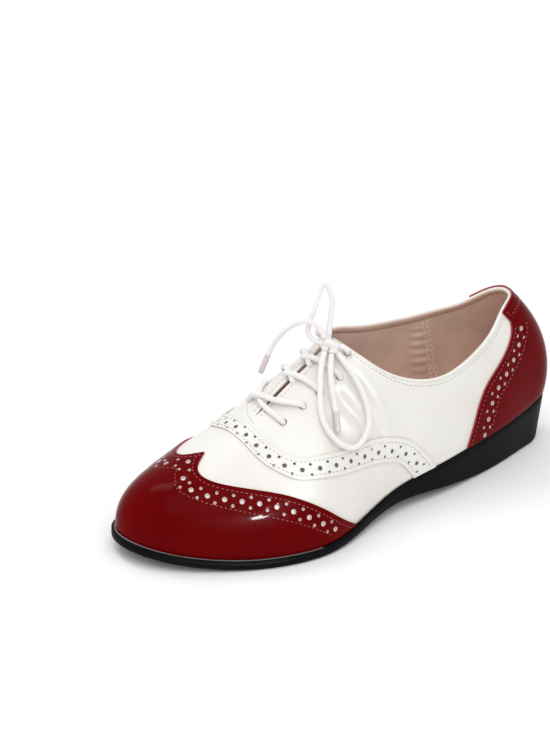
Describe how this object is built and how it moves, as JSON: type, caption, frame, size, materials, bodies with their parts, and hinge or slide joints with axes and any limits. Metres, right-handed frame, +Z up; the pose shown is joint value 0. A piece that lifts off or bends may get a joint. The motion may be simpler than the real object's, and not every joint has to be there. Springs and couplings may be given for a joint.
{
  "type": "shoe",
  "caption": "Low lace-up shoe with a scalloped winged toe cap, a perforated band, a heel counter, a laced throat with a bow, and a low moulded wedge sole.",
  "frame": {"origin": "floor level, under the middle of the box round the shoe without its bow", "axes": "+X from heel to toe, +Y towards the outer side of the foot, +Z up"},
  "size_m": [0.2538, 0.0934, 0.1131],
  "materials": {
    "sole_rubber": "satin black",
    "lining": "matt pinkish beige",
    "white_leather": "smooth white",
    "red_patent": "glossy dark red patent",
    "lace": "round woven cotton, off-white"
  },
  "bodies": {
    "root": {"sole": "sole_rubber", "insole": "lining", "upper": "white_leather", "wing_cap": "red_patent", "perforated_band": "white_leather", "heel_counter": "red_patent", "heel_tab": "red_patent", "lace_crossing_1": "lace", "lace_crossing_2": "lace", "lace_crossing_3": "lace", "lace_top_outer": "lace", "lace_top_inner": "lace", "lace_loop_up": "lace", "lace_loop_down": "lace", "lace_end_1": "lace", "lace_end_2": "lace", "lace_knot": "lace"}
  },
  "joints": []
}
